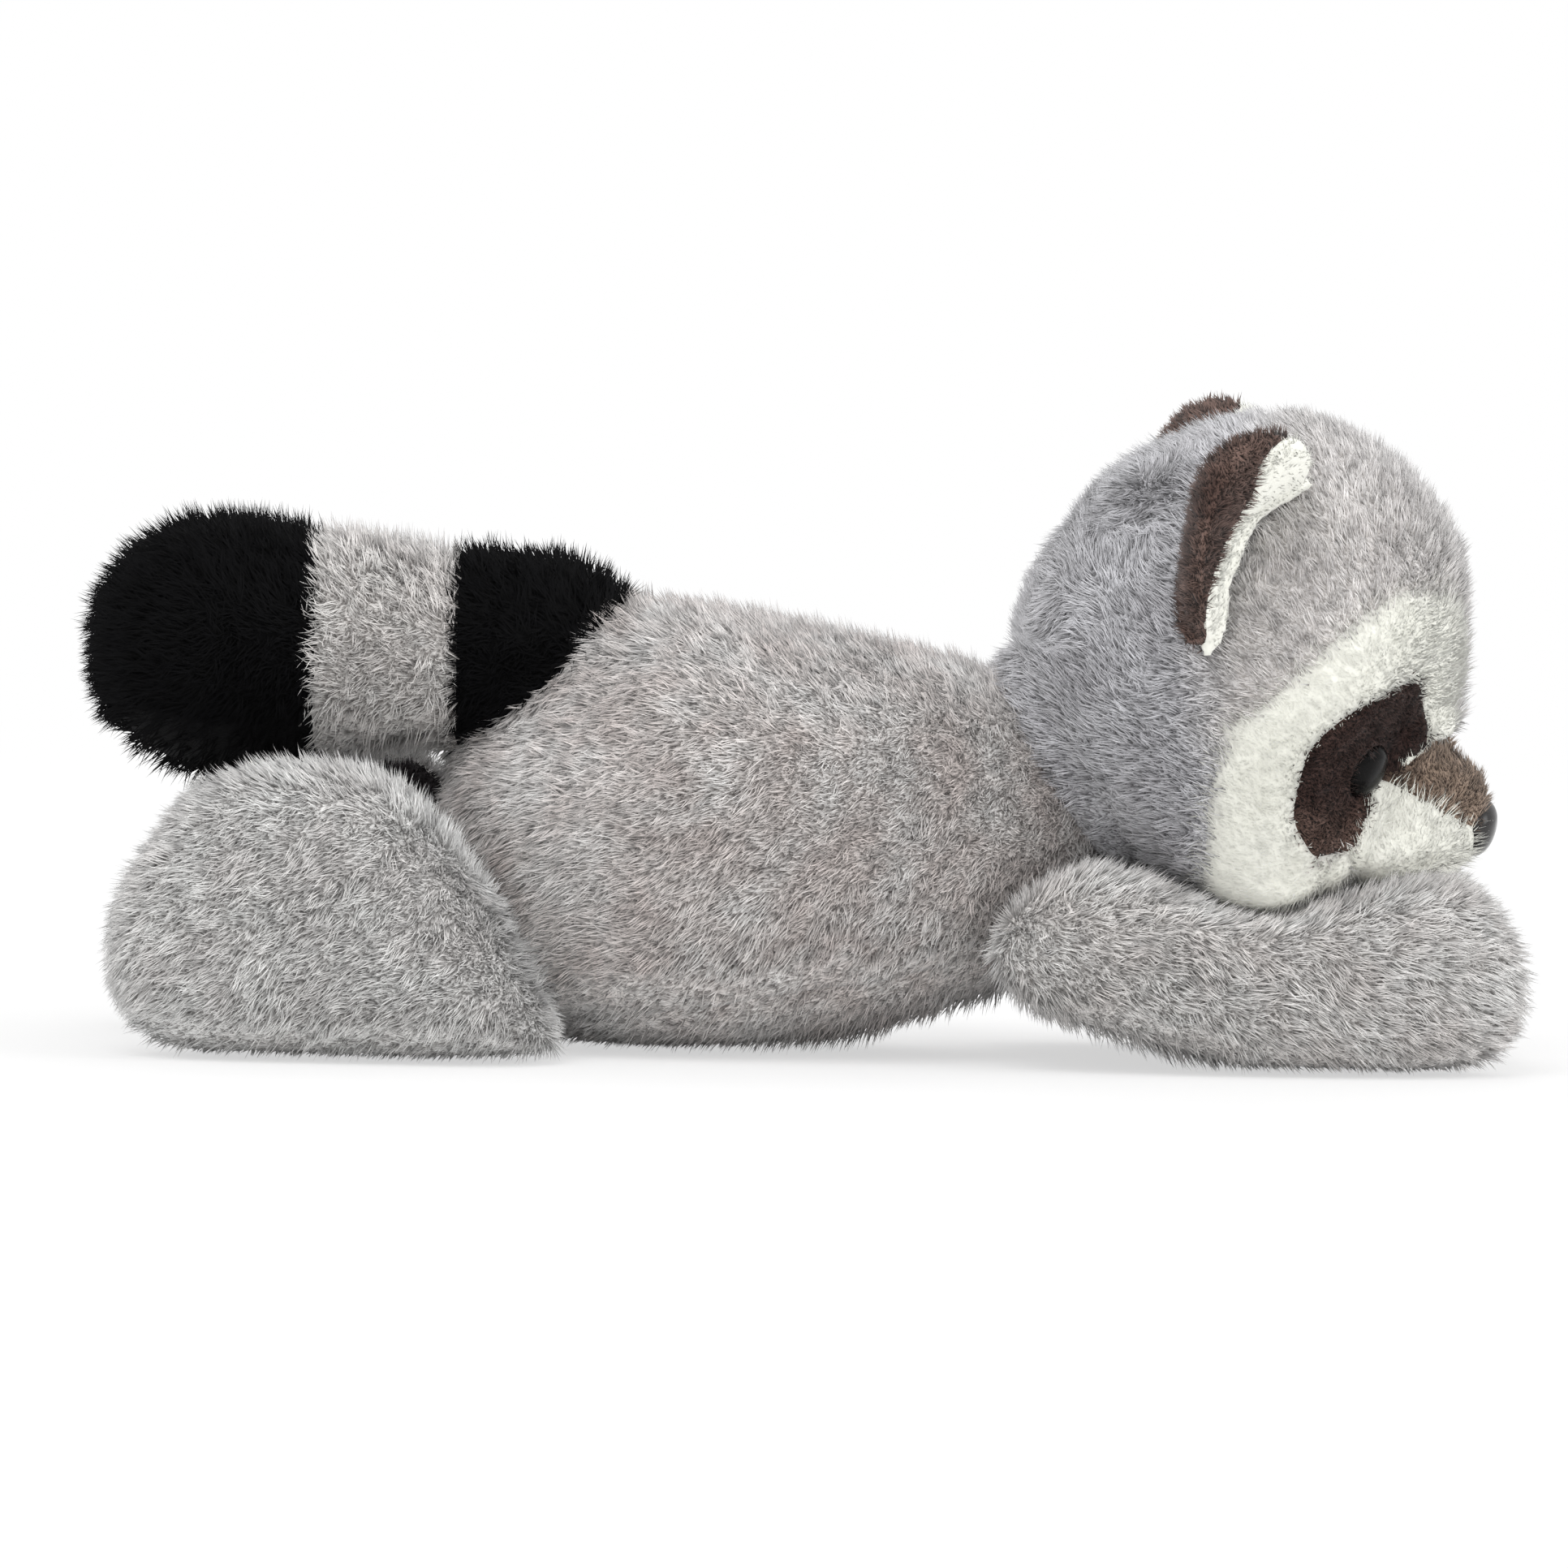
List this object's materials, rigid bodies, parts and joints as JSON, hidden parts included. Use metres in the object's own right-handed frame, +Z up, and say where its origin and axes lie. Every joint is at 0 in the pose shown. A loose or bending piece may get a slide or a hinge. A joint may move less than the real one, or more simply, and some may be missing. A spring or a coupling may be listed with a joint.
{
  "type": "plush raccoon",
  "caption": "Plush raccoon lying on its belly with its chin on its front paws, a ringed tail and a dark mask round moulded eyes.",
  "frame": {"origin": "on the floor, under the middle of the bounding box", "axes": "+X from the tail to the nose, +Y to the raccoon's left, +Z up; the raccoon is the same on both sides of the XZ plane"},
  "size_m": [0.2976, 0.1426, 0.1343],
  "materials": {
    "grey_plush": "long grey pile, darker at the roots",
    "white_plush": "short off-white pile",
    "brown_plush": "short dark brown pile",
    "muzzle_plush": "short brown pile",
    "black_plush": "long black pile",
    "charcoal_plush": "short dark pile",
    "moulded_plastic": "polished black",
    "washer_plastic": "plain moulded white"
  },
  "bodies": {
    "root": {"body": "grey_plush", "belly_panel": "grey_plush", "head": "grey_plush", "forehead_panel": "grey_plush", "mask_panel_right": "white_plush", "mask_panel_left": "white_plush", "eye_patch_right": "brown_plush", "eye_patch_left": "brown_plush", "muzzle_top": "muzzle_plush", "muzzle_lower": "white_plush", "ear_back_right": "brown_plush", "ear_back_left": "brown_plush", "ear_lining_right": "white_plush", "ear_lining_left": "white_plush", "arm_right": "grey_plush", "arm_left": "grey_plush", "leg_right": "grey_plush", "leg_left": "grey_plush", "sole_right": "charcoal_plush", "sole_left": "charcoal_plush", "tail_tip": "black_plush", "tail_band": "grey_plush", "tail_root": "black_plush", "eye_right": "moulded_plastic", "eye_left": "moulded_plastic", "nose": "moulded_plastic", "eye_washer_right": "washer_plastic", "eye_washer_left": "washer_plastic", "nose_washer": "washer_plastic"}
  },
  "joints": []
}
